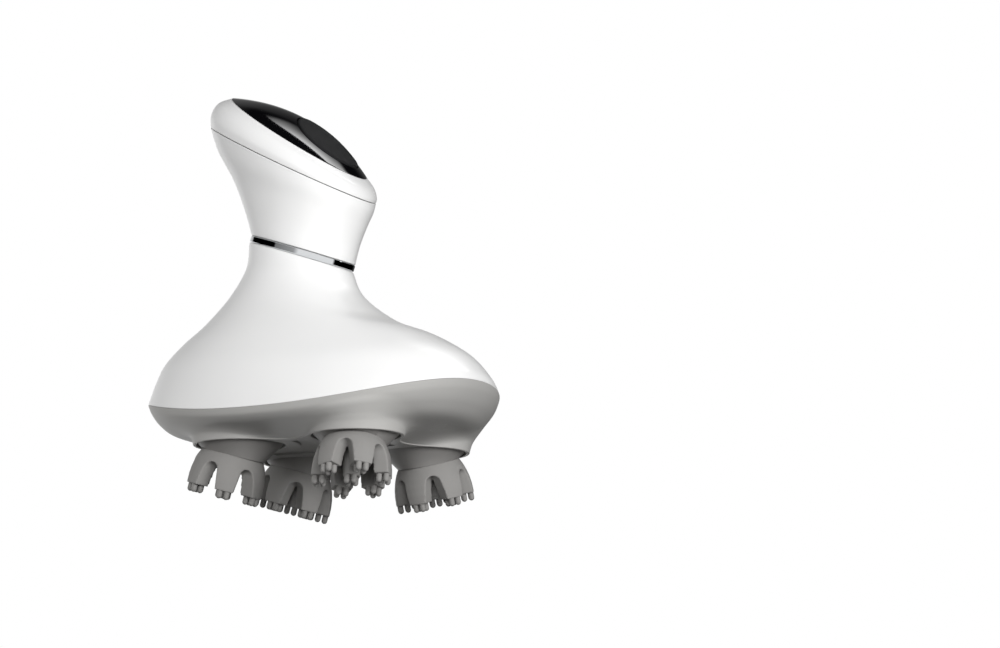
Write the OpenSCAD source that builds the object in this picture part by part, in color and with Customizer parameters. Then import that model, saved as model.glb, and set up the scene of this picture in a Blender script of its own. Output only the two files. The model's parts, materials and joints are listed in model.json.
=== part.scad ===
// Electric scalp massager: a mushroom-shaped body on four turning, leaning claw heads.
// All sizes are millimetres, +Z is up, +X is the front (the low end of the cap), -Y is the right side.
// The origin is on the table, under the middle of the oval base, with the lowest finger tips at z = 0.

/* [Outer body] */
// Half of the length of the oval base
base_half_length = 63.2; // [60:0.2:68]
// Half of the width of the oval base
base_half_width = 50; // [48:1:54]
// How far the white edge rises at the front and back, and dips at the sides
edge_wave = 5.4; // [4:0.2:6]
// Wall thickness of the moulded covers
wall = 2.4; // [2:0.1:3]
// Width of the visible joint between two covers
seam = 0.3; // [0.2:0.05:0.5]
// Points round each lofted section
sides = 48; // [32:4:60]
// Sections built between two stated stations
steps = 2; // [1:1:3]

/* [Neck ring] */
// Outer radius of the bright ring round the neck
ring_r = 19; // [18.6:0.1:19.4]
// Tilt of the neck ring, front side lower
ring_tilt = 18.5; // [17:0.5:20]
// Air left above and below the ring
ring_gap = 0.1; // [0.05:0.05:0.2]

/* [Top dome and button] */
// Half of the length of the black dome
dome_half_length = 28.9; // [27:0.1:30]
// Half of the width of the black dome
dome_half_width = 23.8; // [23:0.1:25]
// Height of the dome over its rim
dome_height = 6.9; // [5.5:0.1:7.5]
// Tilt of the dome rim, front side lower
dome_tilt = 34.5; // [33:0.5:36]
// Radius of the round power button
button_r = 13.3; // [12:0.1:13.6]
// Distance of the button from the middle of the dome, toward the front
button_shift = 11.5; // [10:0.1:12]
// Extra tilt of the button, to follow the dome
button_lean = 7; // [5:0.5:8]
// How far the button stands out of the dome
button_proud = 0.6; // [0.4:0.1:0.9]
// Travel of the button
button_travel = 0.7; // [0.4:0.1:0.8]
// Gap all round the button
button_gap = 0.3; // [0.25:0.05:0.5]
// Radius of the guide stem under the button
stem_r = 3; // [2.5:0.1:3.5]
// Radius of the control board
board_r = 15; // [14.4:0.1:15.4]
// Thickness of the control board
board_t = 1.2; // [1:0.1:1.6]
// Distance of the board screws from the button axis
board_post_r = 11.5; // [11:0.1:12]

/* [Massage heads] */
// Distance from the base middle to the middle of the four heads, toward the front
heads_x = 3.6; // [2:0.1:5]
// Radius of the turning flange of a head
flange_r = 15; // [14.5:0.1:15.3]
// Thickness of the turning flange
flange_t = 2; // [1.6:0.1:2.2]
// Radius of the cone where it leaves the flange
cone_r = 14.4; // [14:0.1:14.6]
// Lean of the claw cup from the turning axis
lean = 16.5; // [14:0.5:17]
// Depth of the cone along the turning axis, down to the claw
cone_depth = 4.4; // [4.2:0.1:5]
// Radius of the claw at its top
claw_top_r = 10.8; // [10.4:0.1:11]
// Outer radius of the claw at the leg ends
claw_end_r = 13.8; // [13.4:0.1:14.2]
// Length of the claw legs along the leaning axis
leg_length = 12.6; // [11.5:0.1:13]
// Width of a leg at its end
leg_width = 6.2; // [5.8:0.1:6.8]
// Radial thickness of a leg at its end
leg_depth = 4.8; // [4.4:0.1:5]
// Height of the arches between the legs
arch_height = 9; // [7.5:0.1:9.4]
// Radius of the round tops of the arches
arch_r = 2.25; // [2:0.05:2.4]
// Radius of the small finger tips
tip_r = 1; // [0.9:0.05:1.1]
// Straight length of a finger tip
tip_straight = 1.85; // [1:0.05:2]
// Half of the spacing between neighbouring finger tips
tip_half_pitch = 1.25; // [1.15:0.01:1.3]

/* [Head drive] */
// Tooth count of the large wheel that turns the four heads
sun_teeth = 40; // [40:1:40]
// Tooth count of each head gear
head_teeth = 25; // [25:1:25]
// Gear module of the head gears
head_module = 1; // [1:0.1:1]
// Tooth count of the upper wheel on the centre gear
wheel_teeth = 44; // [44:1:44]
// Tooth count of the motor pinion
pinion_teeth = 14; // [14:1:14]
// Gear module of the motor pinion and upper wheel
pinion_module = 0.7; // [0.7:0.1:0.7]
// Tooth thinning that gives the gears their play
backlash = 0.14; // [0.1:0.02:0.2]
// Radius of the head shafts
shaft_r = 2.5; // [2.3:0.1:2.7]
// Radius of the fixed pin of the centre gear
pin_r = 2; // [1.8:0.1:2.2]
// Radial clearance of running fits
run_fit = 0.05; // [0.03:0.01:0.08]
// Radial clearance of pushed-in parts
push_fit = 0.02; // [0.01:0.01:0.04]

/* [Motor and battery] */
// Radius of the gearbox can
gearbox_r = 11; // [10:0.1:11.5]
// Height of the gearbox can
gearbox_h = 13.5; // [12:0.5:14]
// Radius of the motor can
motor_r = 12; // [11:0.1:12.2]
// Height of the motor can
motor_h = 19; // [17:0.5:20]
// Radius of the battery cell
cell_r = 9.1; // [8.8:0.1:9.2]
// Length of the battery cell
cell_l = 34; // [30:1:35]

/* [Charging socket] */
// Radius of the recess that takes the charging head
socket_r = 4.6; // [4.2:0.1:4.8]
// Depth of the recess
socket_depth = 3; // [2.5:0.1:3.5]
// Outer radius of the socket
socket_outer_r = 6.2; // [6:0.1:6.4]
// How far the socket face lies under the cover at its middle
socket_sunk = 0.9; // [0.7:0.1:1.2]

/* [Hidden] */
// Distance of each head axis from the middle of the heads
head_reach = head_module * (sun_teeth + head_teeth) / 2;
// Distance of the motor axis from the centre gear
pinion_reach = pinion_module * (wheel_teeth + pinion_teeth) / 2;

// Where the heads stand round the centre gear, as angles
head_turns = [225, 315, 45, 135];
// Which way each claw leans at rest
lean_turns = [178, -73, 77, 182];
// Where one leg of each claw points at rest
leg_turns = [2, 17, 30.5, 30.5];

// Radius left of the cone on the turning axis at the claw
cone_left = cone_r - cone_depth;
// Sideways shift of the claw middle, toward the lean
claw_shift = cone_left * (1 / (1 - tan(lean)) - 1 / (1 + tan(lean))) / 2;
// Depth of the claw middle under the flange
claw_drop = cone_depth - claw_shift * tan(lean);
// Middle of the finger tips of a leg, measured from the claw axis
tip_mid_r = claw_end_r - leg_depth / 2 - 0.15;
// Lowest point of a claw under the skirt rims
tip_drop = claw_drop - 0.4 + (leg_length + tip_straight) * cos(lean)
    + (tip_mid_r + tip_half_pitch) * sin(lean) + tip_r;
// Height of the skirt rims over the table
rim_z = tip_drop;

// Levels over the skirt rims
under_z = 1.8;
edge_z = 13.9;
flange_low = 0.4;
pocket_top = 3;
floor_top = 5.6;
boss_top = 8;
gear_low = 9;
gear_high = 14;
wheel_high = 18.6;
plate_low = 19.4;
plate_high = 21.9;
gearbox_top = plate_high + gearbox_h;
motor_top = gearbox_top + motor_h;
cell_low = motor_top + 3.5;
// Radius of the round pocket each flange turns in
pocket_r = flange_r + 0.4;
// Outer radius of the skirt rims
skirt_r = pocket_r + 1.2;
// Radius of the shaft bushes
bush_r = shaft_r + 1.6;
// Distance of the gear plate posts from the middle of the heads
post_reach = 25.5;
// The same for the post behind the gearbox
back_reach = pinion_reach + gearbox_r + 3.1;
// Places of the screws that hold the base to the body
cover_screw_spots = [[-41, 0], [46, 0], [heads_x, -34.5], [heads_x, 34.5]];
// Places of the screws that hold the gear plate
plate_screw_spots = [[post_reach, 0], [-back_reach, 0], [0, post_reach], [0, -post_reach]];
// Level of the pillars that meet the base screws
pillar_low = 9;
// Radius of the crowned top of the button
crown_r = 46;
// Height of the push switch, body and plunger
switch_body = 2.6;
switch_h = 3.1;
// Levels under the dome surface at the button: end of the stem, top and underside of the board
stem_end = -8;
board_top = stem_end - button_travel - 0.1 - switch_h;
board_low = board_top - board_t;
// Angles of the board posts round the button axis
post_turns = [60, 180, 300];
// Radius of the screw heads
head_r = 2.7;
// Radius of the screw shanks
screw_r = 1.4;

// Half of the height of the gap that the neck ring sits in
ring_half = 1.3;

// Sections of the outside, bottom to top. Each is height over the skirt rims, middle along X,
// half length, half width, tilt, roundness power, and rise of the wave. Those of the base add the
// radius of the four lobes that carry the heads.
base_sections = [
    [-1, 2.2, 37, 27.5, 0, 2.2, 0, skirt_r + 0.2],
    [1.2, 2, 39, 29, 0, 2.2, 0, skirt_r + 0.35],
    [3.2, 0.9, 47, 36.4, 0, 2.2, 0.5, skirt_r + 0.8],
    [5.2, 0, 54.1, 41.5, 0, 2.18, 1.9, skirt_r + 1.7],
    [7.8, -0.1, 59, 46.2, 0, 2.16, 3.5, skirt_r + 2.7],
    [10.8, 0, 61.9, 48.9, 0, 2.15, 4.9, skirt_r + 3.4],
    [edge_z - seam, 0, base_half_length, base_half_width, 0, 2.15, edge_wave, skirt_r]];
body_sections = [
    [edge_z, 0, base_half_length, base_half_width, 0, 2.15, edge_wave],
    [20.5, 0.4, 61.1, 47.8, 2, 2.12, 4.6],
    [28, -0.8, 57, 44.6, 1.8, 2.08, 3.2],
    [35, -1.1, 50.7, 39, 3, 2.04, 1.8],
    [42, -1.6, 41.8, 33, 5, 2, 0.7],
    [50, -4.3, 30.9, 26, 10, 2, 0.1],
    [60, -7.7, 21.5, 20.5, 15, 2, 0],
    [70.5 - ring_half * cos(ring_tilt), -8.9 - ring_half * sin(ring_tilt),
        ring_r - 0.1, ring_r - 0.1, ring_tilt, 2, 0]];
handle_sections = [
    [70.5 + ring_half * cos(ring_tilt), -8.9 + ring_half * sin(ring_tilt),
        ring_r - 0.1, ring_r - 0.1, ring_tilt, 2, 0],
    [79.7, -8.9, 21.4, 20.4, 19.2, 2, 0],
    [88.6, -9.8, 25.6, 22.9, 21.8, 2, 0],
    [96.3, -11.8, 30.6, 25.9, 24.8, 2, 0],
    [102.5, -12.9, 33.6, 27.7, 28, 2, 0]];
cap_sections = [
    [102.5 + seam, -12.9, 33.6, 27.7, 28, 2, 0],
    [105.9, -12.6, 34.3, 28.2, 30.3, 2, 0],
    [109.4, -11.7, 32.9, 26.9, 32.4, 2, 0],
    [111.9, -10.4, dome_half_length + 0.2, dome_half_width + 0.2, dome_tilt, 2, 0]];
// Middle of the dome rim, and of the ring
dome_at = [-10.4, 0, rim_z + 112.1];
ring_at = [-8.9, 0, rim_z + 70.5];

// The larger of two lengths, with the step between them rounded over k
function soft_max(a, b, k) = max(a, b) + pow(max(k - abs(a - b), 0), 2) / (4 * k);
// How far a ray at angle t from the middle of the heads runs inside the lobe of radius r
function lobe_reach(t, r) = max([for (a = head_turns)
    cos(t - a) > 0 && abs(head_reach * sin(t - a)) < r
    ? head_reach * cos(t - a) + sqrt(r * r - pow(head_reach * sin(t - a), 2)) : 0]);
// A plan point pushed out to the lobes of radius r
function on_lobes(p, r) =
    let (d = [p[0] - heads_x, p[1]], f = soft_max(norm(d), lobe_reach(atan2(d[1], d[0]), r), 3) / norm(d))
    [heads_x + d[0] * f, d[1] * f];
// One point of a section, at angle t
function section_point(v, inset, t) =
    let (u = (v[2] - inset) * sign(cos(t)) * pow(abs(cos(t)), 2 / v[5]),
         w = (v[3] - inset) * sign(sin(t)) * pow(abs(sin(t)), 2 / v[5]),
         h = v[6] * cos(2 * t),
         p = [v[1] + u * cos(v[4]) + h * sin(v[4]), w],
         q = len(v) > 7 && inset == 0 ? on_lobes(p, v[7]) : p)
    [q[0], q[1], rim_z + v[0] - u * sin(v[4]) + h * cos(v[4])];
// All points of a section, in order, those of an inner skin half a step further round
function section_loop(v, inset, ahead = 0) =
    [for (i = [0 : sides - 1]) section_point(v, inset, 360 * (i + ahead) / sides)];
// A smooth curve through four neighbours
function blend(a, b, c, d, t) = 0.5 * (2 * b + (c - a) * t + (2 * a - 5 * b + 4 * c - d) * t * t
    + (3 * b - a - 3 * c + d) * t * t * t);
// Neighbour k of a list, carried on straight past its ends
function near(list, k) = k < 0 ? 2 * list[0] - list[1]
    : k >= len(list) ? 2 * list[len(list) - 1] - list[len(list) - 2] : list[k];
// The stated sections with further ones between them
function fill(list) = concat([for (k = [0 : len(list) - 2]) for (j = [0 : steps - 1])
    blend(near(list, k - 1), list[k], list[k + 1], near(list, k + 2), j / steps)],
    [list[len(list) - 1]]);
// A section moved up by h along its own axis
function raised(v, h) = concat([v[0] + h * cos(v[4]), v[1] + h * sin(v[4])],
    [for (k = [2 : len(v) - 1]) v[k]]);
// Loops of a whole skin, with an inset, run on past the ends by two lengths
function skin(list, inset, below, above) =
    let (f = fill(list), n = len(f), ahead = inset > 0 ? 0.5 : 0)
    concat(below > 0 ? [section_loop(raised(f[0], -below), inset, ahead)] : [],
        [for (v = f) section_loop(v, inset, ahead)],
        above > 0 ? [section_loop(raised(f[n - 1], above), inset, ahead)] : []);
// Middle of a loop
function loop_middle(p) = [for (k = [0 : 2]) [for (q = p) q[k]] * [for (q = p) 1] / len(p)];
// An involute point at roll angle a
function involute(r, a) = [r * (cos(a) + a * PI / 180 * sin(a)), r * (sin(a) - a * PI / 180 * cos(a))];
// A point turned by an angle
function turned(p, a) = [p[0] * cos(a) - p[1] * sin(a), p[0] * sin(a) + p[1] * cos(a)];
// Roll angle at which the involute reaches radius q
function roll_to(r, q) = q <= r ? 0 : sqrt(q * q / (r * r) - 1) * 180 / PI;
// Polar angle of that point
function polar_at(r, q) = roll_to(r, q) - atan(roll_to(r, q) * PI / 180);

// Node to draw

// Solid through a list of loops, closed at both ends by a fan
module loft(loops) {
    n = len(loops);
    m = len(loops[0]);
    points = concat([for (r = loops) for (p = r) p], [loop_middle(loops[0]), loop_middle(loops[n - 1])]);
    faces = concat(
        [for (k = [0 : n - 2]) for (i = [0 : m - 1])
            [k * m + i, (k + 1) * m + (i + 1) % m, k * m + (i + 1) % m]],
        [for (k = [0 : n - 2]) for (i = [0 : m - 1])
            [k * m + i, (k + 1) * m + i, (k + 1) * m + (i + 1) % m]],
        [for (i = [0 : m - 1]) [n * m, i, (i + 1) % m]],
        [for (i = [0 : m - 1]) [n * m + 1, (n - 1) * m + (i + 1) % m, (n - 1) * m + i]]);
    polyhedron(points = points, faces = faces, convexity = 6);
}

// Involute gear outline with one tooth centred on +X
module gear_outline(teeth, size) {
    pitch_r = teeth * size / 2;
    base_r = pitch_r * cos(20);
    outer_r = pitch_r + 0.85 * size;
    root_r = pitch_r - 1.15 * size;
    low_r = max(base_r, root_r);
    half = 90 / teeth - backlash * 90 / (PI * pitch_r) + polar_at(base_r, pitch_r);
    flank = [for (q = [low_r, (low_r + pitch_r) / 2, pitch_r, outer_r])
        turned(involute(base_r, roll_to(base_r, q)), -half)];
    tooth = concat([turned([root_r, 0], -half)], flank,
        [for (k = [3 : -1 : 0]) [flank[k][0], -flank[k][1]]], [turned([root_r, 0], half)]);
    polygon([for (k = [0 : teeth - 1]) for (p = tooth) turned(p, 360 * k / teeth)]);
}

// Places children at the axis of head k
module at_head(k) {
    translate([heads_x + head_reach * cos(head_turns[k]), head_reach * sin(head_turns[k]), rim_z])
        children();
}

// Places children at the leaning middle of claw k, with +Z along the claw axis
module at_claw(k) {
    at_head(k) rotate(lean_turns[k]) translate([claw_shift, 0, flange_low - claw_drop])
        rotate([0, -lean, 0]) children();
}

// Places children on the button axis, with z = 0 on the dome surface
module at_button() {
    rise = dome_height * (1 - pow(button_shift / dome_half_length, 2));
    translate(dome_at) rotate([0, dome_tilt, 0]) translate([button_shift, 0, rise])
        rotate([0, button_lean, 0]) children();
}

// Places children on the tilted ring plane
module at_ring() {
    translate(ring_at) rotate([0, ring_tilt, 0]) children();
}

// Places children on the charging socket, with +Z pointing out of the body
module at_socket() {
    translate([-28.6, 0, rim_z + 84.5]) rotate([0, -90 - 14, 0]) children();
}

// Round skirt of one head, flaring into the underside
module skirt_outside() {
    rotate_extrude($fn = 96) polygon([[0, 0], [skirt_r - 0.5, 0], [skirt_r - 0.15, 0.12], [skirt_r, 0.4],
        [skirt_r + 0.2, 0.8], [skirt_r + 0.7, 1.2], [skirt_r + 1.8, 1.6], [skirt_r + 3.8, under_z + 0.15],
        [skirt_r + 3.8, under_z + 2], [0, under_z + 2]]);
}

// Grey lower shell with the four skirts and all bearing seats
module base_housing() {
    color("#8d8b88") difference() {
        intersection() {
            loft(skin(base_sections, 0, 0, 0));
            union() {
                translate([-100, -100, rim_z + under_z]) cube([200, 200, 40]);
                for (k = [0 : 3]) at_head(k) skirt_outside();
            }
        }
        difference() {
            loft(skin(base_sections, wall, 0, 4));
            translate([0, 0, rim_z - 10 + floor_top]) cube([200, 200, 20], center = true);
            for (k = [0 : 3]) at_head(k) cylinder(r = bush_r + 2.4, h = boss_top, $fn = 48);
            translate([heads_x, 0, rim_z]) cylinder(r = pin_r + 2.5, h = boss_top, $fn = 48);
            for (p = plate_screw_spots) translate([heads_x + p[0], p[1], rim_z])
                cylinder(r = 3.2, h = plate_low, $fn = 48);
            for (p = cover_screw_spots) translate([p[0], p[1], rim_z])
                cylinder(r = 4.4, h = pillar_low - 0.1, $fn = 48);
        }
        for (k = [0 : 3]) at_head(k) {
            translate([0, 0, -1]) cylinder(r = pocket_r, h = pocket_top + 1, $fn = 96);
            cylinder(r = bush_r + push_fit, h = 12, $fn = 48);
        }
        translate([heads_x, 0, rim_z + 4]) cylinder(r = pin_r + push_fit, h = 10, $fn = 48);
        for (p = plate_screw_spots) translate([heads_x + p[0], p[1], rim_z + plate_low - 7])
            cylinder(r = screw_r - 0.2 + 0.22, h = 10, $fn = 32);
        for (p = cover_screw_spots) translate([p[0], p[1], rim_z - 2]) {
            cylinder(r = screw_r + 0.2, h = 20, $fn = 32);
            cylinder(r = head_r + 0.2, h = 8.2, $fn = 48);
        }
    }
}

// White lower body, a shell from the base oval up to the neck
module body_cover() {
    color("#f4f4f4") difference() {
        union() {
            difference() {
                loft(skin(body_sections, 0, 0, 0));
                loft(skin(body_sections, wall, 4, 3));
            }
            intersection() {
                loft(skin(body_sections, 0.4, 0, 0));
                for (p = cover_screw_spots) translate([p[0], p[1], rim_z + pillar_low])
                    cylinder(r = 3.6, h = 40, $fn = 48);
            }
        }
        for (p = cover_screw_spots) translate([p[0], p[1], rim_z + pillar_low - 1])
            cylinder(r = screw_r + push_fit, h = 8, $fn = 32);
    }
}

// Bright metal ring between the two white covers
module neck_ring() {
    h = 2 * ring_half - 2 * ring_gap;
    color("#d9dbdd") at_ring() rotate_extrude($fn = 96) translate([ring_r - 2.3, -h / 2]) polygon([
        [0, 0], [2, 0], [2.3, 0.3], [2.3, h - 0.3], [2, h], [0, h]]);
}

// White upper neck, flaring out to the cap seam
module handle_cover() {
    color("#f4f4f4") difference() {
        loft(skin(handle_sections, 0, 0, 0));
        loft(skin(handle_sections, wall, 3, 3));
        at_socket() translate([0, 0, -8]) cylinder(r = socket_outer_r + 0.1, h = 20, $fn = 64);
    }
}

// White rounded rim that carries the dome
module cap_rim() {
    color("#f4f4f4") difference() {
        loft(skin(cap_sections, 0, 0, 0));
        loft(skin(cap_sections, wall, 3, 3));
    }
}

// Outer surface of the dome, less an inset, with its lower end carried down
module dome_solid(inset, drop) {
    c = [dome_at[2] - rim_z, dome_at[0]];
    levels = [1, 0.94, 0.8, 0.62, 0.42, 0.22, 0.06];
    loft(concat(
        [section_loop([c[0] - drop * cos(dome_tilt), c[1] - drop * sin(dome_tilt),
            dome_half_length, dome_half_width, dome_tilt, 2, 0], inset)],
        [for (s = levels) let (w = dome_height * (1 - s * s) - inset * 0.9)
            section_loop([c[0] + w * cos(dome_tilt), c[1] + w * sin(dome_tilt),
                (dome_half_length - inset) * s, (dome_half_width - inset) * s, dome_tilt, 2, 0], 0)]));
}

// Black dome with the round well of the button
module top_dome() {
    color("#101011") difference() {
        union() {
            difference() {
                dome_solid(0, 0.02);
                dome_solid(2, 6);
            }
            intersection() {
                at_button() translate([0, 0, -5.8])
                    cylinder(r = button_r + button_gap + 1.5, h = 10, $fn = 96);
                dome_solid(0.3, 9);
            }
            for (a = post_turns) at_button() rotate(a) translate([board_post_r, 0, board_top])
                cylinder(r = 2.2, h = -5.3 - board_top, $fn = 32);
        }
        at_button() {
            translate([0, 0, -4]) cylinder(r = button_r + button_gap, h = 12, $fn = 96);
            translate([0, 0, -9]) cylinder(r = stem_r + run_fit, h = 12, $fn = 48);
            for (a = post_turns) rotate(a) translate([board_post_r, 0, board_top - 1.1])
                cylinder(r = 0.9, h = 6, $fn = 24);
        }
    }
}

// Round power button with its guide stem
module power_button() {
    color("#3a3a3b") at_button() difference() {
        union() {
            intersection() {
                translate([0, 0, -2.7]) cylinder(r = button_r, h = 6, $fn = 96);
                translate([0, 0, button_proud - crown_r]) sphere(r = crown_r, $fn = 160);
            }
            translate([0, 0, stem_end]) cylinder(r = stem_r, h = 6, $fn = 48);
        }
        translate([0, 0, stem_end + 1.2]) difference() {
            cylinder(r = stem_r + 1, h = 0.8, $fn = 48);
            translate([0, 0, -1]) cylinder(r = stem_r - 0.7, h = 3, $fn = 48);
        }
    }
}

// Spring clip that keeps the button in its guide
module button_clip() {
    color("#b9bcc0") at_button() translate([0, 0, stem_end + 1.3]) difference() {
        cylinder(r = stem_r + 1.6, h = 0.6, $fn = 48);
        translate([0, 0, -1]) cylinder(r = stem_r - 0.65, h = 3, $fn = 48);
        translate([0, -1.6, -1]) cube([8, 3.2, 3]);
    }
}

// Soft ring that stops the button
module button_pad() {
    color("#5d5f62") at_button() translate([0, 0, -3.95]) difference() {
        cylinder(r = 11, h = 0.45, $fn = 64);
        translate([0, 0, -1]) cylinder(r = 7, h = 3, $fn = 64);
    }
}

// Round circuit board under the dome
module control_board() {
    color("#1f6b45") at_button() translate([0, 0, board_low]) difference() {
        cylinder(r = board_r, h = board_t, $fn = 96);
        for (a = post_turns) rotate(a) translate([board_post_r, 0, -1]) cylinder(r = 1.2, h = 4, $fn = 24);
    }
}

// Push switch under the button stem
module tact_switch() {
    color("#2b2b2d") at_button() translate([0, 0, board_top]) {
        translate([-3, -3, 0]) cube([6, 6, switch_body]);
        translate([0, 0, switch_body - 0.1]) cylinder(r = 1.7, h = switch_h - switch_body + 0.1, $fn = 32);
    }
}

// Chips and other small parts of the board
module board_parts() {
    color("#26272a") at_button() translate([0, 0, board_low]) {
        translate([-8, -9, -1.6]) cube([7, 7, 1.6]);
        translate([5, -4, -2]) cube([5, 5, 2]);
        translate([-3, 5, -1.2]) cube([6, 4, 1.2]);
        translate([-9, 6.5, -4]) cylinder(r = 2.5, h = 4, $fn = 32);
    }
}

// Screws that hold the board to the dome posts
module board_screws() {
    color("#b9bcc0") at_button() for (a = post_turns) rotate(a) translate([board_post_r, 0, board_low - 1.2]) {
        cylinder(r = 1.7, h = 1.2, $fn = 24);
        cylinder(r = 0.85, h = 6, $fn = 24);
    }
}

// Rechargeable cell in the neck
module battery_cell() {
    color("#2f6fb0") translate([ring_at[0], 0, rim_z + cell_low]) {
        cylinder(r = cell_r, h = cell_l, $fn = 64);
        translate([0, 0, cell_l - 0.1]) cylinder(r = 3, h = 1, $fn = 32);
    }
}

// Frame that centres the two covers and the ring, and holds the cell
module battery_cradle() {
    color("#c9cacb") difference() {
        union() {
            at_ring() {
                rotate_extrude($fn = 96) translate([ring_r - 2.3, 0]) polygon([[-2.4, -3], [-1.1, -3],
                    [-0.3, -1], [-0.3, 1], [-1.1, 3], [-2.4, 3]]);
                translate([0, 0, -1]) cylinder(r = ring_r - 4, h = 2, $fn = 96);
            }
            translate([ring_at[0], 0, rim_z + cell_low - 1.6]) cylinder(r = cell_r + 1.5, h = 24, $fn = 64);
        }
        translate([ring_at[0], 0, rim_z + cell_low]) cylinder(r = cell_r + 0.1, h = 60, $fn = 64);
        translate([ring_at[0], 0, rim_z + cell_low - 5]) cylinder(r = 4, h = 10, $fn = 48);
    }
}

// Round socket that takes the charging head
module charging_socket() {
    color("#2a2b2d") at_socket() difference() {
        union() {
            translate([0, 0, -5.8]) cylinder(r = socket_outer_r, h = 5.8 - socket_sunk, $fn = 64);
            translate([0, 0, -5.8]) cylinder(r = socket_outer_r + 1, h = 2, $fn = 64);
        }
        translate([0, 0, -socket_sunk - socket_depth]) cylinder(r = socket_r, h = 9, $fn = 64);
        for (s = [-1, 1]) translate([0, 2.3 * s, -8]) cylinder(r = 0.9 + push_fit, h = 8, $fn = 32);
    }
}

// Two charging contacts in the socket floor
module charging_contacts() {
    color("#d8b25c") at_socket() for (s = [-1, 1]) translate([0, 2.3 * s, -7])
        cylinder(r = 0.9, h = 7 - socket_sunk - socket_depth, $fn = 32);
}

// Plate that carries the gearmotor and the top of the centre pin
module gear_plate() {
    color("#a9acb0") translate([heads_x, 0, rim_z]) difference() {
        translate([0, 0, plate_low]) linear_extrude(plate_high - plate_low) {
            for (p = plate_screw_spots) rotate(atan2(p[1], p[0])) translate([0, -4]) square([norm(p), 8]);
            for (p = plate_screw_spots) translate(p) circle(r = 4, $fn = 48);
            circle(r = 12, $fn = 64);
            translate([-pinion_reach, 0]) circle(r = gearbox_r + 1, $fn = 64);
        }
        translate([0, 0, plate_low - 1]) cylinder(r = pin_r + push_fit, h = 2.6, $fn = 48);
        translate([-pinion_reach, 0, plate_low - 1]) cylinder(r = 4 + push_fit, h = 5, $fn = 48);
        for (p = plate_screw_spots) translate([p[0], p[1], plate_low - 1])
            cylinder(r = screw_r + 0.1, h = 5, $fn = 32);
        for (s = [-1, 1]) translate([-pinion_reach, 7.5 * s, plate_low - 1])
            cylinder(r = 1.1, h = 5, $fn = 32);
    }
}

// Screws of the gear plate
module plate_screws() {
    color("#b9bcc0") for (p = plate_screw_spots) translate([heads_x + p[0], p[1], rim_z]) {
        translate([0, 0, plate_high]) cylinder(r = head_r, h = 1.6, $fn = 32);
        translate([0, 0, plate_high - 7]) cylinder(r = screw_r, h = 8, $fn = 32);
    }
}

// Round gearbox under the motor
module gearbox_can() {
    color("#b4b8bc") translate([heads_x - pinion_reach, 0, rim_z]) difference() {
        union() {
            translate([0, 0, plate_high]) cylinder(r = gearbox_r, h = gearbox_h, $fn = 96);
            translate([0, 0, plate_low + 0.3]) cylinder(r = 4, h = 4, $fn = 48);
        }
        cylinder(r = pin_r + run_fit, h = plate_high + 6, $fn = 48);
        for (s = [-1, 1]) translate([0, 7.5 * s, plate_high - 1]) cylinder(r = 0.9, h = 5, $fn = 32);
    }
}

// Screws that hold the gearbox on the plate
module motor_screws() {
    color("#b9bcc0") for (s = [-1, 1])
        translate([heads_x - pinion_reach, 7.5 * s, rim_z + plate_low - 1.2]) {
            cylinder(r = 1.8, h = 1.2, $fn = 32);
            cylinder(r = 0.88, h = 6, $fn = 32);
        }
}

// Electric motor on the gearbox
module motor_can() {
    color("#c5c8cb") translate([heads_x - pinion_reach, 0, rim_z + gearbox_top]) {
        cylinder(r = motor_r, h = motor_h, $fn = 96);
        translate([0, 0, motor_h]) cylinder(r = 3.5, h = 1.4, $fn = 48);
        for (s = [-1, 1]) translate([-0.5, 8 * s - 1, motor_h - 0.5]) cube([1, 2, 2.2]);
    }
}

// Motor pinion with the output shaft it sits on
module motor_pinion() {
    color("#d6c07a") translate([heads_x - pinion_reach, 0, rim_z]) {
        translate([0, 0, gear_high + 0.5]) rotate(180 * (wheel_teeth + 1) / pinion_teeth)
            linear_extrude(wheel_high - gear_high - 0.5) gear_outline(pinion_teeth, pinion_module);
        translate([0, 0, gear_high + 0.3])
            cylinder(r = pin_r, h = plate_high + 5.5 - gear_high - 0.3, $fn = 48);
    }
}

// Double gear in the middle: the upper wheel meets the pinion, the lower one the four head gears
module centre_gear() {
    color("#e8e2cf") translate([heads_x, 0, rim_z]) difference() {
        union() {
            translate([0, 0, gear_low]) linear_extrude(gear_high - gear_low)
                gear_outline(sun_teeth, head_module);
            translate([0, 0, gear_high - 0.1]) linear_extrude(wheel_high - gear_high + 0.1)
                gear_outline(wheel_teeth, pinion_module);
            translate([0, 0, boss_top + 0.4])
                cylinder(r = pin_r + 2.2, h = plate_low - boss_top - 0.8, $fn = 48);
        }
        translate([0, 0, 1]) cylinder(r = pin_r + run_fit, h = 30, $fn = 48);
    }
}

// Fixed steel pin of the centre gear
module centre_pin() {
    color("#b9bcc0") translate([heads_x, 0, rim_z + 4.1])
        cylinder(r = pin_r, h = plate_low + 1.4 - 4.1, $fn = 48);
}

// Bearing bushes pressed into the base, one for each head shaft
module shaft_bushes() {
    color("#c8a15a") for (k = [0 : 3]) at_head(k) difference() {
        union() {
            translate([0, 0, pocket_top + 1.8])
                cylinder(r = bush_r, h = boss_top - pocket_top - 1.7, $fn = 48);
            translate([0, 0, boss_top + 0.02]) cylinder(r = bush_r + 1.2, h = 0.6, $fn = 48);
        }
        cylinder(r = shaft_r + run_fit, h = 20, $fn = 48);
    }
}

// Soft rings that keep water away from the bushes
module shaft_seals() {
    color("#303133") for (k = [0 : 3]) at_head(k) translate([0, 0, pocket_top + 0.9])
        rotate_extrude($fn = 64) translate([shaft_r + 0.82, 0]) circle(r = 0.75, $fn = 24);
}

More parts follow.
